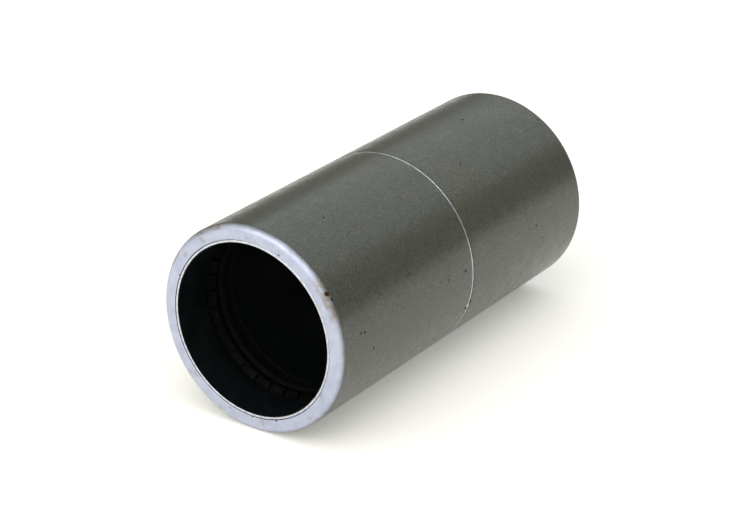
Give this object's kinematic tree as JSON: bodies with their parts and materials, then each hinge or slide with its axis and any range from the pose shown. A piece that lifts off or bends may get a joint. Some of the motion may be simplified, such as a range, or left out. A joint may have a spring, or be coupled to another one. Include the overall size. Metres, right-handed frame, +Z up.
{
  "type": "push fit coupling",
  "caption": "Straight sleeve coupling that joins two equal pipes by pushing them in, with a release collar, grab ring and O-ring at each end.",
  "frame": {"origin": "on the bore axis, midway between the two end faces", "axes": "+Y along the bore from the front mouth to the rear mouth, +Z up, +X to the right when looking into the front mouth"},
  "size_m": [0.0488, 0.102, 0.0488],
  "materials": {
    "grey_coating": "satin",
    "bright_steel": "satin",
    "black_plastic": "satin",
    "dark_plastic": "matte",
    "spring_steel": "satin",
    "seal_rubber": "matte"
  },
  "bodies": {
    "casing": {"front_shell": "grey_coating", "rear_shell": "grey_coating", "centre_ring": "bright_steel", "centre_stop": "black_plastic", "front_core_sleeve": "black_plastic", "rear_core_sleeve": "black_plastic", "front_end_ring": "bright_steel", "rear_end_ring": "bright_steel", "front_grab_ring_seat": "dark_plastic", "rear_grab_ring_seat": "dark_plastic", "front_grab_ring": "spring_steel", "rear_grab_ring": "spring_steel", "front_o_ring_guard": "dark_plastic", "rear_o_ring_guard": "dark_plastic", "front_pipe_o_ring": "seal_rubber", "rear_pipe_o_ring": "seal_rubber", "front_support_ring": "dark_plastic", "rear_support_ring": "dark_plastic", "front_joint_o_ring": "seal_rubber", "rear_joint_o_ring": "seal_rubber"},
    "front_collar": {"front_release_collar": "black_plastic", "front_collar_rim": "bright_steel"},
    "rear_collar": {"rear_release_collar": "black_plastic", "rear_collar_rim": "bright_steel"}
  },
  "joints": [
    {"name": "front_collar_slide", "type": "slide", "parent": "casing", "child": "front_collar", "axis": [0, 1, 0], "range_m": [0, 0.002]},
    {"name": "rear_collar_slide", "type": "slide", "parent": "casing", "child": "rear_collar", "axis": [0, -1, 0], "range_m": [0, 0.002]}
  ]
}
